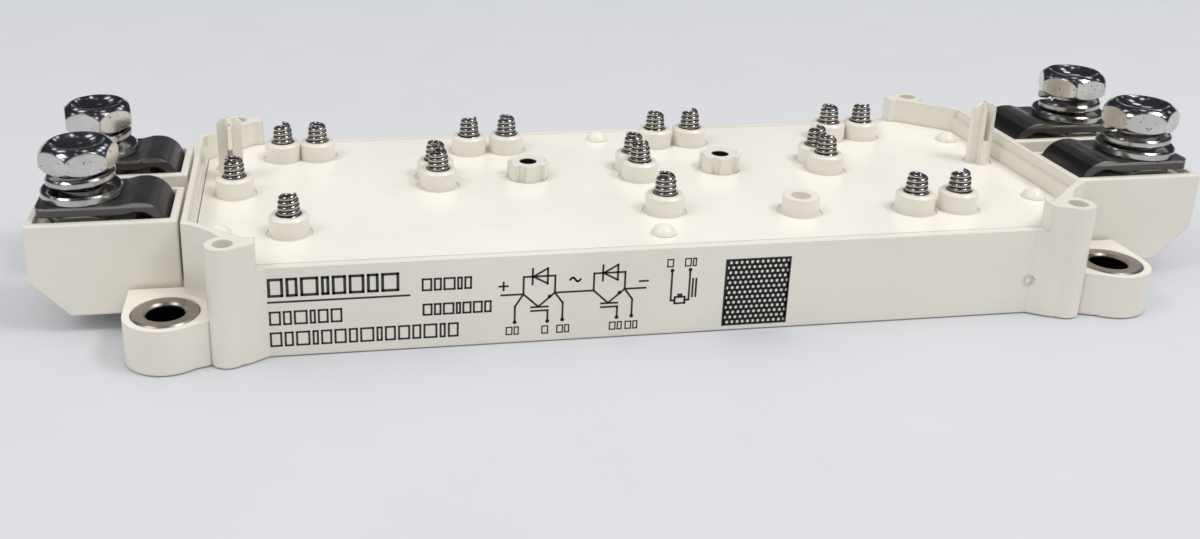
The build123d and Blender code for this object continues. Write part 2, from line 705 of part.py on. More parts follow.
def bond_wires():
    wires = []
    inset = DIODE_CHIP / 4
    for switch_x, diode_x in chip_places():
        direction = 1 if diode_x > switch_x else -1
        near_switch = switch_x + direction * (SWITCH_CHIP / 2 - 2 * inset)
        near_diode = diode_x + direction * inset
        wire = bond_wire(min(near_switch, near_diode), max(near_switch, near_diode))
        for side in (-1, 1):
            for number in range(WIRE_COUNT):
                y = side * (DIODE_Y - WIRE_STEP * (number - (WIRE_COUNT - 1) / 2))
                wires.append(Pos(0, y) * wire)
    return Compound(wires)


def heat_sensor():
    x = TILES[0] + TILE_X / 2 - SENSOR_INSET_X
    y = TILE_Y / 2 - SENSOR_INSET_Y
    return Pos(x, y, TRACK_TOP + SENSOR_R) * Rot(90, 0, 0) * Cylinder(SENSOR_R, SENSOR_LENGTH)


def soft_gel():
    # Filling above and between the tiles, open round all that it surrounds
    gel = slab(inner_face(LEDGE + GEL_GAP), BASE_THICK, GEL_TOP)
    room_top = TRACK_TOP + CHIP_THICK + WIRE_RISE + GEL_GAP
    half_x = TILE_X / 2 + GEL_GAP
    half_y = TILE_Y / 2 + GEL_GAP
    for x in TILES:
        gel -= box(x - half_x, x + half_x, -half_y, half_y, 0, room_top)
    for side, y_side in TERMINALS.values():
        half = BAR_WIDTH / 2 + GEL_GAP
        y = y_side * BLOCK_Y
        gel -= side_box(side, BAR_FOOT_X, BODY_HALF_X, y - half, y + half, 0, room_top)
    for x, y in spring_places():
        gel -= rod(x, y, COIL_SHAFT_R + GEL_GAP, 0, GEL_TOP + PAST)
    return gel


def write(name, shape):
    shape.label = name
    export_step(shape, "parts/" + name + ".step")


os.makedirs("parts", exist_ok=True)
write("base_plate", base_plate())
write("housing_frame", housing_frame())
write("lid", lid())
write("spring_holder", spring_holder())
for corner, (sx, sy) in zip(("right_back", "left_back", "left_front", "right_front"), CORNERS):
    write("mount_sleeve_" + corner, sleeve(sx, sy))
for place, (side, y_side) in TERMINALS.items():
    at_bolt = Pos(side * BOLT_X, y_side * BLOCK_Y)
    write("terminal_bar_" + place, terminal_bar(side, y_side))
    write("terminal_nut_" + place, at_bolt * nut())
    write("flat_washer_" + place, at_bolt * flat_washer())
    write("lock_washer_" + place, at_bolt * Rot(0, 0, LOCK_WASHER_TURN[place]) * lock_washer())
    write("terminal_screw_" + place, at_bolt * Rot(0, 0, SCREW_TURN[place]) * screw())
for number, (x, y) in enumerate(spring_places(), start=1):
    write(f"contact_spring_{number:02d}", contact_spring(x, y))
for number, x in enumerate(TILES, start=1):
    write(f"substrate_{number}", substrate(x))
write("switch_chips", switch_chips())
write("diode_chips", diode_chips())
write("bond_wires", bond_wires())
write("heat_sensor", heat_sensor())
write("soft_gel", soft_gel())
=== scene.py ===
from math import atan2, cos, hypot, pi, radians, sin

import bpy
from mathutils import Matrix, Vector


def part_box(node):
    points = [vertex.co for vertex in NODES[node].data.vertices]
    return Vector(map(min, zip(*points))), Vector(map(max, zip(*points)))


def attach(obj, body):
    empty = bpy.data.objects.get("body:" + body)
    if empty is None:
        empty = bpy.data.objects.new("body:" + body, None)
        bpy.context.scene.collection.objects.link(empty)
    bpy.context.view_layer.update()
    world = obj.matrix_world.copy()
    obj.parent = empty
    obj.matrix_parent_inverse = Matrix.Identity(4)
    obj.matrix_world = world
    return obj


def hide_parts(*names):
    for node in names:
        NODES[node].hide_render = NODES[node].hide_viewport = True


bl_info = {
    "name": "Power Module Dresser",
    "version": (1, 0, 0),
    "blender": (4, 5, 0),
    "location": "View3D > Sidebar > Power Module",
    "description": "Finishes, wound contact coils, front print and a studio for a power module",
    "category": "Object",
}

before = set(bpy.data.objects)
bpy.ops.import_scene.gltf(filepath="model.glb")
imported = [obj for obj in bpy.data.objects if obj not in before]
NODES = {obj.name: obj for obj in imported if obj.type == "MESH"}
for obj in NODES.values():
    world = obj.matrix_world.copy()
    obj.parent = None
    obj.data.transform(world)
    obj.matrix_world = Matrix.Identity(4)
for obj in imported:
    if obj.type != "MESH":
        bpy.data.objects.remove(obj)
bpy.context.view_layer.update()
MM = 0.001


# Sizes and colours that a user may change

def length(name, description, millimetres):
    return bpy.props.FloatProperty(name=name, description=description, default=millimetres * MM,
                                   min=0.0, precision=5, unit="LENGTH")


def colour(name, description, value):
    return bpy.props.FloatVectorProperty(name=name, description=description, default=value, size=3,
                                         min=0.0, max=1.0, subtype="COLOR")


def strength(name, description, value):
    return bpy.props.FloatProperty(name=name, description=description, default=value, min=0.0)


class ModuleSizes(bpy.types.PropertyGroup):
    wire_thick: length("Wire", "Thickness of the contact springs' wire", 0.7)
    coil_wide: length("Coil", "Outer width of a contact spring at its foot", 3.5)
    coil_tip: length("Coil tip", "Outer width of a contact spring at its free end", 2.5)
    coil_neck: length("Neck", "Height of the springs' part that gets a little narrower", 3.0)
    coil_crown: length("Crown", "Height of the springs' part that closes in at the free end", 1.2)
    coil_pitch: length("Pitch", "Rise of the springs' wire in one of its close turns", 0.775)
    ink_thick: length("Ink", "Thickness of the printed marks", 0.012)
    ink_line: length("Line", "Width of a printed line", 0.3)
    bold_line: length("Bold line", "Width of the lines in the printed heading", 0.42)
    fine_line: length("Fine line", "Width of the lines in the small printed boxes", 0.2)


class ModuleColours(bpy.types.PropertyGroup):
    housing: colour("Housing", "Moulded frame with its blocks and lugs", (0.85, 0.82, 0.735))
    lid: colour("Lid", "Flat lid between the walls", (0.90, 0.885, 0.82))
    holder: colour("Holder", "Chimneys, bosses, pins and stake heads", (0.87, 0.84, 0.76))
    bar: colour("Bars", "Plated terminal bars", (0.3, 0.295, 0.28))
    screw: colour("Screws", "Plated screws and nuts", (0.64, 0.62, 0.585))
    washer: colour("Washers", "Plated washers", (0.52, 0.505, 0.48))
    coil: colour("Coils", "Plated spring wire", (0.5, 0.475, 0.44))
    sleeve: colour("Sleeves", "Turned mounting sleeves", (0.42, 0.38, 0.34))
    # Painted shade: the near-black tubes in the bosses stand in for the shade in their holes
    painted_shade_lining: colour("Painted bore shade", "Dark lining of the ribbed bosses", (0.012, 0.012, 0.013))
    ink: colour("Ink", "Printed marks on the front", (0.022, 0.023, 0.026))


class StudioSettings(bpy.types.PropertyGroup):
    floor: colour("Floor", "Pale floor under the module", (0.655, 0.675, 0.715))
    horizon: colour("Horizon", "Pale rim of the room", (0.72, 0.74, 0.77))
    ceiling: colour("Ceiling", "Dark space above, as the metal mirrors it", (0.03, 0.032, 0.04))
    low_light: strength("Low light", "Soft light from the sides", 0.25)
    high_light: strength("High light", "Soft light that is added overhead", 0.82)
    dot_light: strength("Dots", "Brightness of the small lamps that the metal mirrors", 45.0)
    key_power: strength("Key", "Power of the main lamp", 2.0)
    fill_power: strength("Fill", "Power of the side lamp", 1.2)


# Shader helper: numbers that vary over a surface

class Varying:
    def __init__(self, tree, socket):
        self.tree = tree
        self.socket = socket

    def joined(self, operation, first, second):
        node = self.tree.nodes.new("ShaderNodeMath")
        node.operation = operation
        for place, value in enumerate((first, second)):
            if isinstance(value, Varying):
                self.tree.links.new(value.socket, node.inputs[place])
            else:
                node.inputs[place].default_value = value
        return Varying(self.tree, node.outputs[0])

    def __add__(self, other):
        return self.joined("ADD", self, other)

    def __radd__(self, other):
        return self.joined("ADD", other, self)

    def __sub__(self, other):
        return self.joined("SUBTRACT", self, other)

    def __rsub__(self, other):
        return self.joined("SUBTRACT", other, self)

    def __mul__(self, other):
        return self.joined("MULTIPLY", self, other)

    def above(self, low, high):
        """0 below low and 1 above high, with a soft step between."""
        node = self.tree.nodes.new("ShaderNodeMapRange")
        node.interpolation_type = "SMOOTHSTEP"
        node.inputs["From Min"].default_value = low
        node.inputs["From Max"].default_value = high
        self.tree.links.new(self.socket, node.inputs["Value"])
        return Varying(self.tree, node.outputs["Result"])


class Tree:
    """Adds nodes to the node tree of a material or of the room."""

    def __init__(self, tree):
        self.tree = tree
        self.nodes = tree.nodes

    def put(self, socket, value):
        if isinstance(value, Varying):
            value = value.socket
        if isinstance(value, bpy.types.NodeSocket):
            self.tree.links.new(value, socket)
        elif hasattr(value, "__len__") and len(value) == 3 and socket.type == "RGBA":
            socket.default_value = (*value, 1.0)
        else:
            socket.default_value = value

    def node(self, kind, settings=None, **sockets):
        node = self.tree.nodes.new(kind)
        for name, value in (settings or {}).items():
            setattr(node, name, value)
        for name, value in sockets.items():
            self.put(node.inputs[name.replace("_", " ")], value)
        return node

    def upward(self, place):
        """Height of a place, or how far a direction points up."""
        return Varying(self.tree, self.node("ShaderNodeSeparateXYZ", Vector=place).outputs["Z"])

    def cells(self, scale, place):
        node = self.node("ShaderNodeTexVoronoi", Vector=place, Scale=scale)
        return Varying(self.tree, node.outputs["Distance"])

    def mixed(self, mask, low, high):
        node = self.node("ShaderNodeMix", {"data_type": "RGBA"})
        self.put(node.inputs["Factor"], mask)
        self.put(node.inputs[6], low)
        self.put(node.inputs[7], high)
        return node.outputs[2]


BEVEL_SAMPLES = 4
RELIEF_DEPTH = 0.02


class Finish(Tree):
    """A material with its Principled shader and the nodes that feed it."""

    def __init__(self, name):
        self.material = bpy.data.materials.new(name)
        self.material.use_nodes = True
        super().__init__(self.material.node_tree)
        self.shader = self.nodes["Principled BSDF"]
        self.place = self.node("ShaderNodeTexCoord").outputs["Object"]

    def set(self, **sockets):
        for name, value in sockets.items():
            self.put(self.shader.inputs[name.replace("_", " ")], value)

    def stretched(self, scale):
        return self.node("ShaderNodeMapping", Vector=self.place, Scale=scale).outputs["Vector"]

    def noise(self, per_mm, detail=2.0, place=None):
        node = self.node("ShaderNodeTexNoise", Vector=place or self.place, Scale=per_mm / MM, Detail=detail)
        return Varying(self.tree, node.outputs["Fac"])

    def spots(self, per_mm):
        return self.cells(per_mm / MM, self.place)

    def edges(self, radius):
        return self.node("ShaderNodeBevel", {"samples": BEVEL_SAMPLES}, Radius=radius * MM).outputs["Normal"]

    def relief(self, height, share, edge):
        """Fine bumps by height, and edges that look rounded by the radius edge where it isn't 0."""
        node = self.node("ShaderNodeBump", Height=height, Distance=RELIEF_DEPTH * MM, Strength=share)
        if edge:
            self.put(node.inputs["Normal"], self.edges(edge))
        self.put(self.shader.inputs["Normal"], node.outputs["Normal"])


def shaded(value, factor):
    return tuple(part * factor for part in value)


def moulded_plastic(name, value, edge):
    """Glossy filled plastic: faint flow clouds, fine grain and a few specks."""
    finish = Finish(name)
    clouds = finish.noise(0.06, detail=3.0)
    grain = finish.noise(4.0, detail=2.0)
    specks = finish.spots(0.55).above(0.035, 0.02) * finish.noise(0.3).above(0.5, 0.6)
    tone = finish.mixed(clouds.above(0.35, 0.65), shaded(value, 0.975), shaded(value, 1.02))
    finish.set(Base_Color=finish.mixed(specks * 0.35, tone, shaded(value, 0.55)),
               Roughness=0.27 + clouds * 0.05 + grain * 0.05, Coat_Weight=0.12, Coat_Roughness=0.12)
    ripple = finish.noise(0.35, detail=1.0)
    finish.relief(ripple * 0.8 + grain * 0.12, 0.35, edge)
    return finish.material


# Height in millimetres over which the painted shade on metals fades in
PAINTED_SHADE_FADE = 0.3


def plated_metal(name, value, roughness, pits, edge, brushed=None, painted_shade_below=None, painted_shade_share=0.05):
    """Plated metal: a slow change of tone, brushed grain, and pits that are dark and dull.

    Below the height painted_shade_below, in millimetres, its colour falls to painted_shade_share of what it is
    above. This darkening is painted shade.
    """
    finish = Finish(name)
    clouds = finish.noise(0.22, detail=3.0)
    grain = finish.noise(3.0, detail=3.0, place=finish.stretched(brushed) if brushed else None)
    spots = finish.spots(1.2).above(0.22, 0.15) * finish.noise(0.7, detail=1.0).above(0.42, 0.5) * pits
    tone = finish.mixed(clouds.above(0.3, 0.7), shaded(value, 0.88), shaded(value, 1.08))
    tone = finish.mixed(spots, tone, shaded(value, 0.25))
    # Painted shade: below the given height the colour is darkened, standing in for shade and for dark surroundings
    # that the metal mirrors
    if painted_shade_below:
        dark = finish.upward(finish.place).above(painted_shade_below * MM, (painted_shade_below - PAINTED_SHADE_FADE) * MM)
        tone = finish.mixed(dark, tone, shaded(value, painted_shade_share))
    finish.set(Base_Color=tone, Metallic=1.0, Roughness=roughness + clouds * 0.06 + grain * 0.05 + spots * 0.2)
    finish.relief(grain * 0.25 + clouds * 0.4 - spots * 1.2, 0.3, edge)
    return finish.material


def ink(name, value):
    """Dull ink, or the dark tubes of painted shade in the bosses, whose tone varies a little."""
    finish = Finish(name)
    tone = finish.mixed(finish.noise(1.2, detail=3.0), shaded(value, 0.8), shaded(value, 1.15))
    finish.set(Base_Color=tone, Roughness=0.42 + finish.noise(3.0) * 0.12)
    return finish.material


# Making and placing

def clear():
    bpy.ops.object.select_all(action="DESELECT")


def settle(piece, name, material, node_names=()):
    """Names a finished piece, puts its place into its mesh and lets it ride on the module."""
    clear()
    piece.select_set(True)
    bpy.context.view_layer.objects.active = piece
    bpy.ops.object.transform_apply(location=True, rotation=True, scale=True)
    piece.name = name
    piece.data.materials.clear()
    piece.data.materials.append(material)
    if node_names:
        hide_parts(*node_names)
    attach(piece, "root")


def dress(names, material):
    """Gives the module's own nodes a material."""
    for name in names:
        mesh = NODES[name].data
        mesh.materials.clear()
        mesh.materials.append(material)


def named(start):
    """Names of the module's nodes that begin with start."""
    return [name for name in NODES if name.startswith(start)]


class MODULE_OT_plastic(bpy.types.Operator):
    """Give the moulded frame, the lid and the spring holder their plastic"""
    bl_idname = "module.plastic"
    bl_label = "Finish Plastic"

    def execute(self, context):
        colours = context.scene.module_colours
        dress(["housing_frame"], moulded_plastic("housing plastic", colours.housing, edge=0.3))
        dress(["lid"], moulded_plastic("lid plastic", colours.lid, edge=0.12))
        dress(["spring_holder"], moulded_plastic("holder plastic", colours.holder, edge=0.25))
        return {"FINISHED"}


# Painted shade on metals, in millimetres: the bars' side faces darker under their top, the sleeves' bores darker
# under a height

BAR_PAINTED_SHADE_DEPTH = 0.6
SLEEVE_PAINTED_SHADE_HEIGHT = 6.6
BASE_METAL = (0.55, 0.53, 0.49)


class MODULE_OT_metal(bpy.types.Operator):
    """Give the bars, screws, washers, nuts, sleeves and base plate their metals"""
    bl_idname = "module.metal"
    bl_label = "Finish Metal"

    def execute(self, context):
        colours = context.scene.module_colours
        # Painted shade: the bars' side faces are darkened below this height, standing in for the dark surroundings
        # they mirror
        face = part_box(named("terminal_bar")[0])[1].z / MM - BAR_PAINTED_SHADE_DEPTH
        bars = plated_metal("bar plate", colours.bar, roughness=0.28, pits=0.9, edge=0.35,
                            brushed=(1.0, 6.0, 6.0), painted_shade_below=face, painted_shade_share=0.35)
        screws = plated_metal("screw plate", colours.screw, roughness=0.06, pits=0.9, edge=0.35)
        nuts = plated_metal("nut plate", colours.screw, roughness=0.12, pits=0.6, edge=0.2)
        washers = plated_metal("washer plate", colours.washer, roughness=0.1, pits=0.4, edge=0.3)
        # Painted shade: below the given height the sleeves' bores are painted nearly black, where the holes are in
        # shade
        sleeves = plated_metal("sleeve steel", colours.sleeve, roughness=0.3, pits=0.2, edge=0.2,
                               painted_shade_below=SLEEVE_PAINTED_SHADE_HEIGHT)
        base = plated_metal("base metal", BASE_METAL, roughness=0.3, pits=0.2, edge=0.2, brushed=(8.0, 1.0, 1.0))
        dress(named("terminal_bar"), bars)
        dress(named("terminal_screw"), screws)
        dress(named("terminal_nut"), nuts)
        dress(named("flat_washer") + named("lock_washer"), washers)
        dress(named("mount_sleeve"), sleeves)
        dress(["base_plate"], base)
        return {"FINISHED"}


# Colours inside the module, in pairs where a surface varies between two tones

COPPER = ((0.62, 0.33, 0.2), (0.75, 0.43, 0.28))
CERAMIC = ((0.76, 0.76, 0.74), (0.82, 0.82, 0.8))
GLAZE = ((0.5, 0.34, 0.2), (0.6, 0.42, 0.26))
GEL = ((0.86, 0.88, 0.84), (0.92, 0.93, 0.9))
SILICON = (0.30, 0.31, 0.34)
BOND_WIRE = (0.78, 0.78, 0.77)
COPPER_HEIGHT = (4.02, 4.04)


class MODULE_OT_circuit(bpy.types.Operator):
    """Give the parts inside their ceramic, silicon, wire and gel"""
    bl_idname = "module.circuit"
    bl_label = "Finish Circuit"

    def execute(self, context):
        tile = Finish("ceramic and copper")
        land = tile.upward(tile.place).above(*(height * MM for height in COPPER_HEIGHT))
        copper = tile.mixed(tile.noise(0.4, detail=3.0), *COPPER)
        white = tile.mixed(tile.noise(1.5, detail=3.0), *CERAMIC)
        tile.set(Base_Color=tile.mixed(land, white, copper), Metallic=land,
                 Roughness=0.55 - land * 0.2 + tile.noise(2.0) * 0.1)
        dress(named("substrate"), tile.material)
        silicon = plated_metal("silicon", SILICON, roughness=0.18, pits=0.0, edge=0.0)
        dress(["switch_chips", "diode_chips"], silicon)
        dress(["bond_wires"], plated_metal("bond wire", BOND_WIRE, roughness=0.22, pits=0.0, edge=0.0))
        bead = Finish("sensor glaze")
        bead.set(Base_Color=bead.mixed(bead.noise(0.8), *GLAZE), Roughness=0.15 + bead.noise(2.0) * 0.08)
        dress(["heat_sensor"], bead.material)
        gel = Finish("soft gel")
        gel.set(Base_Color=gel.mixed(gel.noise(0.2), *GEL), Roughness=0.08 + gel.noise(0.5) * 0.08,
                Alpha=0.35 + gel.noise(0.15) * 0.08)
        dress(["soft_gel"], gel.material)
        return {"FINISHED"}


# Wound springs: steps are per turn, and the turn between one spring and the next is in radians

CLOSE_TURNS = 5.25
CLOSE_STEPS = 22
LOOSE_TURNS = 6
LOOSE_STEPS = 16
WIRE_SIDES = 10
NECK_SHARE = 0.87
NEXT_COIL = 2.4
COIL_SMOOTH = radians(50)


def wound(radius, wire, turns, pitch, start, steps):
    """Wire wound round the Z axis from the height start upwards, closed at both ends."""
    clear()
    bpy.ops.mesh.primitive_circle_add(vertices=WIRE_SIDES, radius=wire / 2, location=(radius, 0, start),
                                      rotation=(pi / 2, 0, 0))
    coil = bpy.context.object
    bpy.ops.object.transform_apply(location=True, rotation=True, scale=True)
    sweep = coil.modifiers.new("Wind", "SCREW")
    sweep.angle = turns * 2 * pi
    sweep.screw_offset = turns * pitch
    sweep.steps = sweep.render_steps = int(turns * steps)
    bpy.ops.object.modifier_apply(modifier="Wind")
    bpy.ops.object.mode_set(mode="EDIT")
    bpy.ops.mesh.select_all(action="SELECT")
    bpy.ops.mesh.fill_holes(sides=0)
    bpy.ops.mesh.select_all(action="SELECT")
    bpy.ops.mesh.normals_make_consistent(inside=False)
    bpy.ops.object.mode_set(mode="OBJECT")
    return coil


def narrowed(coil, foot, top, factor):
    """Makes a coil narrower from the height foot up to its top. A factor of -0.1 leaves 0.9 of its width there."""
    clear()
    bpy.ops.object.empty_add(location=(0, 0, foot))
    start = bpy.context.object
    bpy.context.view_layer.objects.active = coil
    taper = coil.modifiers.new("Narrow", "SIMPLE_DEFORM")
    taper.deform_method = "TAPER"
    taper.deform_axis = "Z"
    taper.origin = start
    low = min(vertex.co.z for vertex in coil.data.vertices)
    taper.limits = ((foot - low) / (top - low), 1.0)
    taper.factor = factor
    bpy.ops.object.modifier_apply(modifier="Narrow")
    bpy.data.objects.remove(start)


def joined(pieces):
    clear()
    for piece in pieces:
        piece.select_set(True)
    bpy.context.view_layer.objects.active = pieces[0]
    bpy.ops.object.join()
    return pieces[0]


class MODULE_OT_coils(bpy.types.Operator):
    """Wind one contact spring and stand a copy of it in every chimney"""
    bl_idname = "module.coils"
    bl_label = "Wind Contact Springs"

    def execute(self, context):
        sizes = context.scene.module_sizes
        colours = context.scene.module_colours
        material = plated_metal("coil plate", colours.coil, roughness=0.14, pits=0.0, edge=0.0)
        names = named("contact_spring")
        low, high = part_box(names[0])
        wire = sizes.wire_thick
        radius = (sizes.coil_wide - wire) / 2
        start = high.z - wire / 2 - CLOSE_TURNS * sizes.coil_pitch
        bottom = low.z + wire / 2
        close = wound(radius, wire, CLOSE_TURNS, sizes.coil_pitch, start, CLOSE_STEPS)
        loose = wound(radius, wire, LOOSE_TURNS, (start - bottom) / LOOSE_TURNS, bottom, LOOSE_STEPS)
        model = joined([close, loose])
        tip_share = sizes.coil_tip / (NECK_SHARE * sizes.coil_wide)
        narrowed(model, high.z - sizes.coil_neck, high.z, NECK_SHARE - 1.0)
        narrowed(model, high.z - sizes.coil_crown, high.z, tip_share - 1.0)
        bpy.ops.object.shade_smooth_by_angle(angle=COIL_SMOOTH)
        for number, name in enumerate(names):
            clear()
            model.select_set(True)
            context.view_layer.objects.active = model
            bpy.ops.object.duplicate(linked=False)
            coil = context.object
            low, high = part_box(name)
            coil.rotation_euler.z = number * NEXT_COIL
            coil.location = ((low.x + high.x) / 2, (low.y + high.y) / 2, 0)
            settle(coil, "coil_" + name[-2:], material, [name])
        bpy.data.objects.remove(model)
        return {"FINISHED"}


# Rings in the lid's holes, and dark tubes of painted shade in the ribbed bosses, in millimetres: heights are over
# the lid's top

LID_TOP = 13.8
RING_RADIUS = 3.44
RING_WALL = 0.08
RING_LOW = -0.5
RING_HIGH = -0.16
PAINTED_SHADE_TUBE_RADIUS = 1.44
PAINTED_SHADE_TUBE_WALL = 0.06
PAINTED_SHADE_TUBE_LOW = -1.2
PAINTED_SHADE_TUBE_HIGH = 2.6
TUBE_SIDES = 48
TUBE_SMOOTH = radians(40)
BOSSES = ((-14.8, 4.4), (18.2, 4.4))
CUP = (24.5, -15.6)


def tube(place, radius, wall, low, high):
    """Open upright tube of an outer radius, between two heights over the lid's top."""
    clear()
    low, high = LID_TOP + low, LID_TOP + high
    bpy.ops.mesh.primitive_cylinder_add(vertices=TUBE_SIDES, radius=radius * MM, depth=(high - low) * MM,
                                        end_fill_type="NOTHING",
                                        location=(place[0] * MM, place[1] * MM, (low + high) / 2 * MM))
    piece = bpy.context.object
    skin = piece.modifiers.new("Wall", "SOLIDIFY")
    skin.thickness = wall * MM
    skin.offset = -1.0
    bpy.ops.object.modifier_apply(modifier="Wall")
    bpy.ops.object.shade_smooth_by_angle(angle=TUBE_SMOOTH)
    return piece


class MODULE_OT_rings(bpy.types.Operator):
    """Close the slits round the chimneys with rings, and put dark tubes of painted shade in the ribbed bosses"""
    bl_idname = "module.rings"
    bl_label = "Seat Rings"

    def execute(self, context):
        colours = context.scene.module_colours
        centres = [sum(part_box(name), Vector()) / 2 / MM for name in named("contact_spring")]
        places = [(centre.x, centre.y) for centre in centres] + [*BOSSES, CUP]
        rings = [tube(place, RING_RADIUS, RING_WALL, RING_LOW, RING_HIGH) for place in places]
        plastic = moulded_plastic("ring plastic", colours.holder, edge=0.0)
        settle(joined(rings), "chimney_rings", plastic)
        # Painted shade: near-black tubes inside the ribbed bosses, where their holes are in shade
        painted_shade_tubes = [tube(place, PAINTED_SHADE_TUBE_RADIUS, PAINTED_SHADE_TUBE_WALL, PAINTED_SHADE_TUBE_LOW, PAINTED_SHADE_TUBE_HIGH) for place in BOSSES]
        settle(joined(painted_shade_tubes), "boss_linings", ink("boss lining", colours.painted_shade_lining))
        return {"FINISHED"}


# Printed marks: shapes on the front face, in millimetres along X and Z

FRONT = -27.2
DOT_RADIUS = 0.3
DOT_SIDES = 20
CELL_PLACES = ((-21.0, 7.8), (-10.7, 7.8))
CELL_PATHS = [
    [(0, 0), (0, 2.7), (4.6, 2.7), (4.6, 0)],
    [(1.3, 1.5), (1.3, 3.9)],
    [(3.5, 1.5), (3.5, 3.9), (1.4, 2.7), (3.5, 1.5)],
    [(0, 0), (2.2, -2.1), (4.6, 0)],
    [(1.2, -2.15), (3.6, -2.15)],
    [(1.2, -2.75), (3.6, -2.75), (3.6, -4.4)],
    [(4.6, 0), (5.8, -1.7), (5.8, -4.3)],
]
CELL_DOTS = [(3.6, -4.5), (5.8, -4.4), (3.85, -0.55)]
LEAD_PATHS = [
    [(-24.2, 7.8), (-21.0, 7.8)],
    [(-21.0, 7.8), (-22.2, 5.9), (-22.2, 3.5)],
    [(-16.4, 7.8), (-10.7, 7.8)],
    [(-6.1, 7.8), (-3.0, 7.8)],
]
SIGN_PATHS = [
    [(-24.5, 9.2), (-23.3, 9.2)],
    [(-23.9, 8.6), (-23.9, 9.8)],
    [(-3.9, 8.9), (-2.7, 8.9)],
    [(-14.2 + 0.15 * step, 9.7 + 0.3 * sin(step * pi / 5)) for step in range(11)],
]
SENSOR_PATHS = [
    [(0.9, 10.2), (0.9, 5.5), (1.5, 5.5)],
    [(3.6, 10.2), (3.6, 5.5), (3.0, 5.5)],
    [(1.5, 5.0), (3.0, 5.0), (3.0, 6.0), (1.5, 6.0), (1.5, 5.0)],
    [(4.1, 8.8), (4.1, 6.0)],
    [(4.6, 8.8), (4.6, 6.0)],
]
SENSOR_TAB = (2.25, 6.3, 0.8 * MM, 0.5 * MM)
LEAD_DOTS = [(-22.2, 3.4), (0.9, 10.3), (3.6, 10.3)]
HEADING_RULE = [(-57.2, 8.6), (-37.4, 8.6)]

# Rows of open boxes. Widths and spaces are shares of a row's height, and each row is x0, x1, z and its height

BOX_WIDTHS = (0.72, 0.5, 0.86, 0.3, 0.64)
BOX_SPACE = 0.3
LEAST_BOX = 0.3
HEADING_ROW = (-57.0, -37.6, 10.8, 2.5)
ROWS = [(-35.5, -28.6, 10.1, 1.7), (-57.0, -46.8, 6.1, 1.9), (-35.4, -24.9, 6.2, 1.6), (-57.0, -29.7, 2.8, 2.0)]
SMALL_HEIGHT = 1.15
SMALL_ROWS = [(-22.2, 2.05, 2.4), (-17.4, 1.95, 1.5), (-15.0, 1.95, 1.9), (-7.2, 1.95, 1.8), (-4.6, 1.95, 2.3),
              (0.9, 11.5, 1.5), (3.6, 11.5, 1.6)]

# The square field: its place, columns, rows and step, and its bars, posts and frame as shares of the step

LATTICE = (13.9, 6.25, 12, 13, 0.8)
LATTICE_BAR = 0.48
LATTICE_POST = 0.55
LATTICE_FRAME = 0.5
FIRST_POST = 0.3


class Print:
    """Thin flat marks that are joined into one piece: places in millimetres, widths in metres."""

    def __init__(self, sizes):
        self.line = sizes.ink_line
        self.parts = []

    def bar(self, x, z, wide, high, turn=0.0):
        bpy.ops.mesh.primitive_plane_add(size=1.0, location=(x * MM, FRONT * MM, z * MM),
                                         rotation=(pi / 2, -turn, 0))
        plate = bpy.context.object
        plate.scale = (wide, high, 1.0)
        self.parts.append(plate)

    def dot(self, x, z):
        bpy.ops.mesh.primitive_circle_add(vertices=DOT_SIDES, radius=DOT_RADIUS * MM, fill_type="NGON",
                                          location=(x * MM, FRONT * MM, z * MM), rotation=(pi / 2, 0, 0))
        self.parts.append(bpy.context.object)

    def path(self, points, line=None):
        line = line or self.line
        for (x0, z0), (x1, z1) in zip(points, points[1:]):
            run = hypot(x1 - x0, z1 - z0) * MM + line
            self.bar((x0 + x1) / 2, (z0 + z1) / 2, run, line, atan2(z1 - z0, x1 - x0))

    def boxes(self, x0, x1, z, high, line=None):
        """A row of open boxes of several widths, between x0 and x1 and with its middle at z."""
        left, number = x0, 0
        low, top = z - high / 2, z + high / 2
        while left < x1 - LEAST_BOX * high:
            right = min(left + BOX_WIDTHS[number % len(BOX_WIDTHS)] * high, x1)
            self.path([(left, low), (left, top), (right, top), (right, low), (left, low)], line)
            left, number = right + BOX_SPACE * high, number + 1

    def lattice(self, x, z, columns, rows, step):
        """A frame filled with level bars and short posts, which move by half a step from row to row."""
        wide, high = columns * step, rows * step
        for row in range(rows + 1):
            self.bar(x, z + (row - rows / 2) * step, wide * MM, LATTICE_BAR * step * MM)
        for row in range(rows):
            for column in range(columns):
                place = x - wide / 2 + (column + FIRST_POST + 0.5 * (row % 2)) * step
                self.bar(place, z + (row + 0.5 - rows / 2) * step, LATTICE_POST * step * MM, step * MM)
        for side in (-1, 1):
            self.bar(x + side * wide / 2, z, LATTICE_FRAME * step * MM, (high + LATTICE_BAR * step) * MM)

    def finish(self, thick):
        piece = joined(self.parts)
        bpy.ops.object.transform_apply(location=True, rotation=True, scale=True)
        layer = piece.modifiers.new("Layer", "SOLIDIFY")
        layer.thickness = thick
        layer.offset = 1.0
        bpy.ops.object.modifier_apply(modifier="Layer")
        return piece


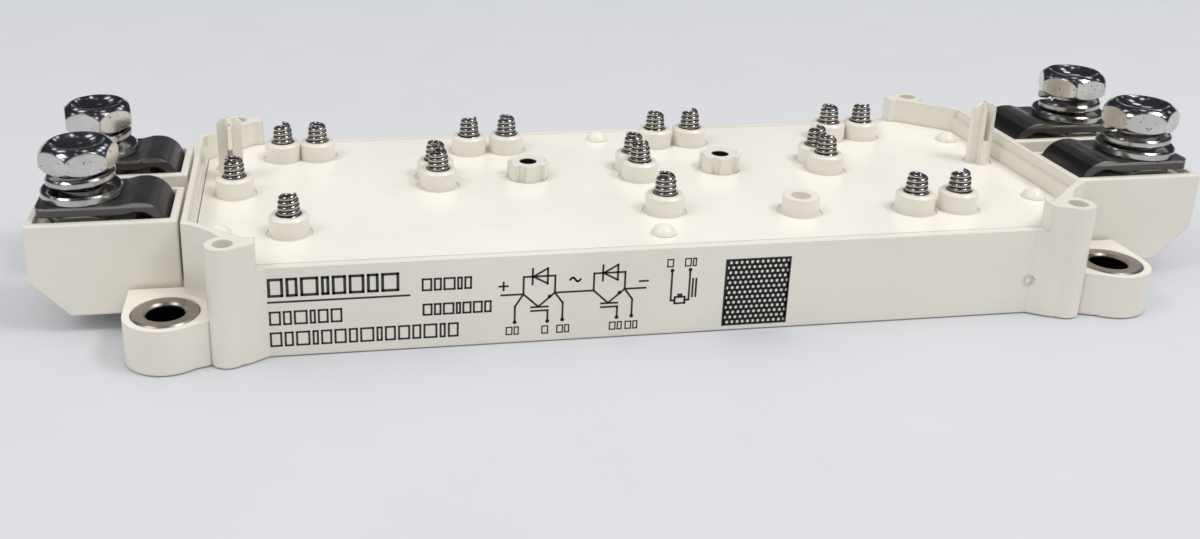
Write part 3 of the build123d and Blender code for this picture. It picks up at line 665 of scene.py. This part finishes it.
class MODULE_OT_front_print(bpy.types.Operator):
    """Lay the circuit diagram and the plain printed fields on the front face"""
    bl_idname = "module.front_print"
    bl_label = "Print Front"

    def execute(self, context):
        sizes = context.scene.module_sizes
        value = context.scene.module_colours.ink
        diagram = Print(sizes)
        for left, middle in CELL_PLACES:
            for path in CELL_PATHS:
                diagram.path([(left + x, middle + z) for x, z in path])
            for x, z in CELL_DOTS:
                diagram.dot(left + x, middle + z)
        for path in LEAD_PATHS + SIGN_PATHS + SENSOR_PATHS + [HEADING_RULE]:
            diagram.path(path)
        for place in LEAD_DOTS:
            diagram.dot(*place)
        diagram.bar(*SENSOR_TAB)
        settle(diagram.finish(sizes.ink_thick), "print_diagram", ink("ink", value))
        fields = Print(sizes)
        fields.boxes(*HEADING_ROW, sizes.bold_line)
        for row in ROWS:
            fields.boxes(*row)
        for x, z, wide in SMALL_ROWS:
            fields.boxes(x - wide / 2, x + wide / 2, z, SMALL_HEIGHT, sizes.fine_line)
        fields.lattice(*LATTICE)
        settle(fields.finish(sizes.ink_thick), "print_fields", ink("field ink", value))
        return {"FINISHED"}


# Studio. Lamps: name, power setting, place, target, size and tint, in metres

LAMPS = (
    ("key lamp", "key_power", (0.4, -0.24, 0.72), (0.02, 0, 0), (0.3, 0.2), (1.0, 0.985, 0.96)),
    ("side lamp", "fill_power", (-0.55, -0.2, 0.7), (0, 0, 0), (0.25, 0.25), (1.0, 0.99, 0.97)),
)
FLOOR_SIZE = 8.0
FLOOR_PLACE = (0, 1.0, 0)
SOFT_TINT = (1.0, 0.99, 0.98)

# What metal mirrors: lamps in the cells of a pattern, as high up as DOTS_FROM, over a dark ceiling

DOT_CELLS = 3.4
DOT_RIM = (0.36, 0.28)
DOTS_FROM = (0.5, 0.6)
CEILING_FROM = (0.06, 0.2)

# Camera: place in millimetres, heading, dip and roll in degrees, and the lens in pixels of the picture

CAMERA_PLACE = (-50.9, -185.8, 86.35)
CAMERA_TURN = (7.91, 18.91, 0.44)
FOCAL_PIXELS = 1240.6
OPTICAL_CENTRE = (470.3, 140.0)
PICTURE_SIZE = (1200, 539)
SENSOR_WIDTH = 36.0
SEEN_FROM = 0.005
SEEN_TO = 30.0


def lamp(name, power, place, target, size, tint):
    light = bpy.data.lights.new(name, "AREA")
    light.shape = "RECTANGLE"
    light.size, light.size_y = size
    light.energy = power
    light.color = tint
    thing = bpy.data.objects.new(name, light)
    bpy.context.scene.collection.objects.link(thing)
    thing.location = place
    thing.rotation_euler = (Vector(target) - Vector(place)).to_track_quat("-Z", "Y").to_euler()


class MODULE_OT_studio(bpy.types.Operator):
    """Set the pale floor, the soft lamps, the room's light and the camera"""
    bl_idname = "module.studio"
    bl_label = "Set Studio"

    def execute(self, context):
        studio = context.scene.module_studio
        clear()
        bpy.ops.mesh.primitive_plane_add(size=FLOOR_SIZE, location=FLOOR_PLACE)
        floor = context.object
        floor.name = "floor"
        finish = Finish("floor")
        tone = finish.mixed(finish.noise(0.05, detail=4.0), shaded(studio.floor, 0.97), shaded(studio.floor, 1.03))
        finish.set(Base_Color=tone, Roughness=0.75)
        floor.data.materials.append(finish.material)
        for name, power, *rest in LAMPS:
            lamp(name, getattr(studio, power), *rest)
        self.room(context.scene, studio)
        self.camera(context.scene)
        return {"FINISHED"}

    def room(self, scene, studio):
        """Soft light for dull surfaces, a dark ceiling with small lamps for metal, and a pale backdrop."""
        world = bpy.data.worlds.new("room")
        world.use_nodes = True
        scene.world = world
        room = Tree(world.node_tree)
        way = room.node("ShaderNodeTexCoord").outputs["Generated"]
        height = room.upward(way)
        soft = height * studio.high_light + studio.low_light
        lamps = room.cells(DOT_CELLS, way).above(*DOT_RIM) * height.above(*DOTS_FROM) * studio.dot_light
        mirrored = room.mixed(height.above(*CEILING_FROM), studio.horizon, studio.ceiling)
        seen = room.node("ShaderNodeLightPath")
        glossy = Varying(room.tree, seen.outputs["Is Glossy Ray"])
        camera = Varying(room.tree, seen.outputs["Is Camera Ray"])
        tint = room.mixed(glossy, SOFT_TINT, mirrored)
        backdrop = room.nodes["Background"]
        room.put(backdrop.inputs["Color"], room.mixed(camera, tint, studio.horizon))
        glow = (1 - glossy) * (1 - camera) * soft + glossy * (lamps + 1) + camera
        room.put(backdrop.inputs["Strength"], glow)

    def camera(self, scene):
        yaw, pitch, roll = (radians(angle) for angle in CAMERA_TURN)
        ahead = Vector((sin(yaw) * cos(pitch), cos(yaw) * cos(pitch), -sin(pitch)))
        right = Vector((cos(yaw), -sin(yaw), 0))
        up = right.cross(ahead)
        right, up = right * cos(roll) + up * sin(roll), up * cos(roll) - right * sin(roll)
        turn = Matrix((right, up, -ahead)).transposed()
        data = bpy.data.cameras.new("camera")
        wide, high = PICTURE_SIZE
        data.sensor_width = SENSOR_WIDTH
        data.lens = FOCAL_PIXELS / wide * data.sensor_width
        data.shift_x = (wide / 2 - OPTICAL_CENTRE[0]) / wide
        data.shift_y = (OPTICAL_CENTRE[1] - high / 2) / wide
        data.clip_start = SEEN_FROM
        data.clip_end = SEEN_TO
        camera = bpy.data.objects.new("camera", data)
        scene.collection.objects.link(camera)
        camera.matrix_world = Matrix.Translation(Vector(CAMERA_PLACE) * MM) @ turn.to_4x4()
        scene.camera = camera
        scene.view_settings.view_transform = "Standard"


OPERATORS = (MODULE_OT_plastic, MODULE_OT_metal, MODULE_OT_circuit, MODULE_OT_coils, MODULE_OT_rings,
             MODULE_OT_front_print, MODULE_OT_studio)


class MODULE_PT_dresser(bpy.types.Panel):
    """Lists the steps that dress the module"""
    bl_label = "Power Module"
    bl_idname = "MODULE_PT_dresser"
    bl_space_type = "VIEW_3D"
    bl_region_type = "UI"
    bl_category = "Power Module"

    def draw(self, context):
        scene = context.scene
        for group in (scene.module_sizes, scene.module_colours, scene.module_studio):
            box = self.layout.box()
            for name in group.__annotations__:
                box.prop(group, name)
        for operator in OPERATORS:
            self.layout.operator(operator.bl_idname)


GROUPS = (("module_sizes", ModuleSizes), ("module_colours", ModuleColours), ("module_studio", StudioSettings))


def register():
    for name, group in GROUPS:
        bpy.utils.register_class(group)
        setattr(bpy.types.Scene, name, bpy.props.PointerProperty(type=group))
    for operator in OPERATORS:
        bpy.utils.register_class(operator)
    bpy.utils.register_class(MODULE_PT_dresser)


def unregister():
    bpy.utils.unregister_class(MODULE_PT_dresser)
    for operator in reversed(OPERATORS):
        bpy.utils.unregister_class(operator)
    for name, group in reversed(GROUPS):
        delattr(bpy.types.Scene, name)
        bpy.utils.unregister_class(group)


def main():
    register()
    bpy.ops.module.plastic()
    bpy.ops.module.metal()
    bpy.ops.module.circuit()
    bpy.ops.module.coils()
    bpy.ops.module.rings()
    bpy.ops.module.front_print()
    bpy.ops.module.studio()


if __name__ == "__main__":
    main()
